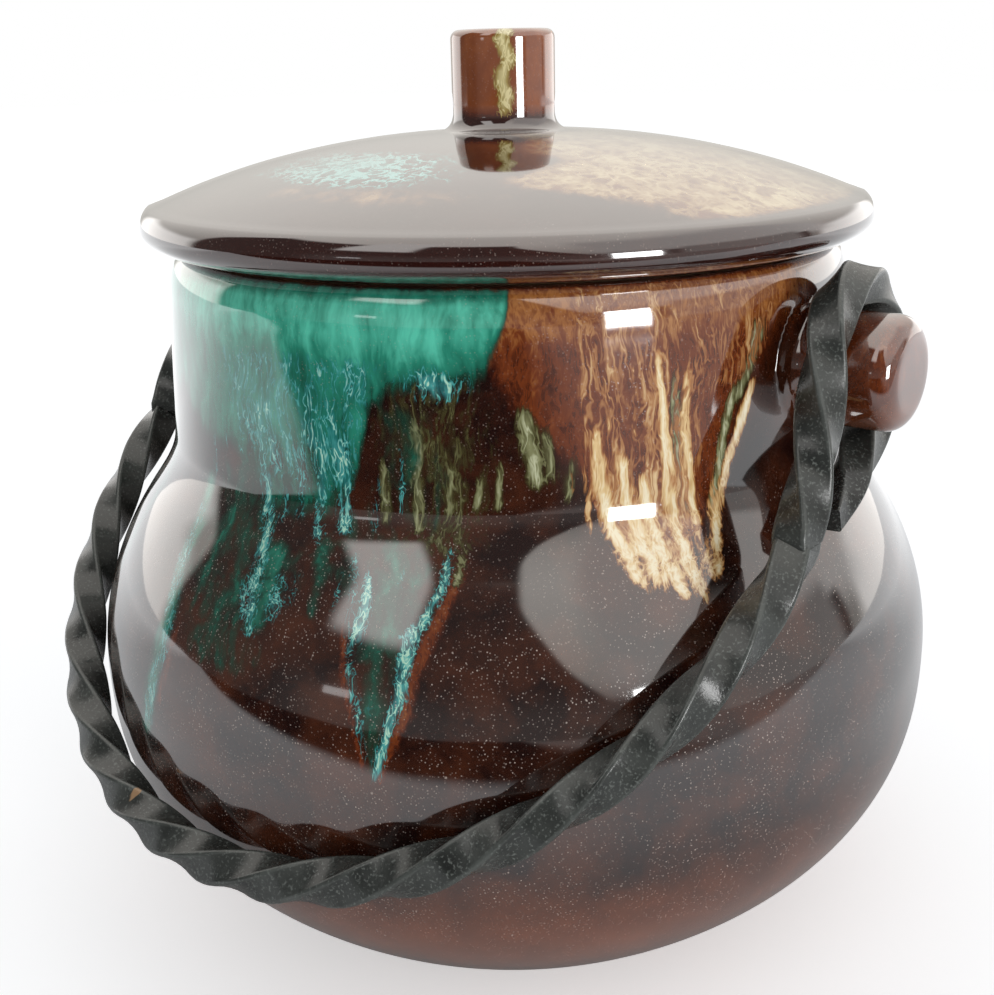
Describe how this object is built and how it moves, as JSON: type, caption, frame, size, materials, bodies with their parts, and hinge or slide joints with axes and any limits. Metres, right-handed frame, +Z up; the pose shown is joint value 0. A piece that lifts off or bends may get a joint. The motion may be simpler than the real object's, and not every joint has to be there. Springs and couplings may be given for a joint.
{
  "type": "lidded pot",
  "caption": "Lidded stoneware pot with a round belly, straight neck, domed lid with a stub knob, and a twisted iron bail hooked on side lugs.",
  "frame": {"origin": "middle of the pot's flat base, on the pot's axis", "axes": "+Z up along the pot's axis, +X along the two lugs that the bail turns on, -Y to the front, where the bail hangs"},
  "size_m": [0.19, 0.1985, 0.1934],
  "materials": {
    "pot_glaze": "glossy dark brown glaze with turquoise and cream runs",
    "lid_glaze": "glossy brown glaze with a cream network and turquoise flecks",
    "bail_paint": "black satin paint, dusty, chipped in places"
  },
  "bodies": {
    "pot": {"pot": "pot_glaze"},
    "lid": {"lid": "lid_glaze"},
    "bail": {"bail": "bail_paint"}
  },
  "joints": [
    {"name": "lid_lift", "type": "slide", "parent": "pot", "child": "lid", "axis": [0, 0, 1], "range_m": [0, 0.08]},
    {"name": "bail_swing", "type": "hinge", "parent": "pot", "child": "bail", "pos_m": [0, 0, 0.1301], "axis": [-1, 0, 0], "range_deg": [0, 262]}
  ]
}
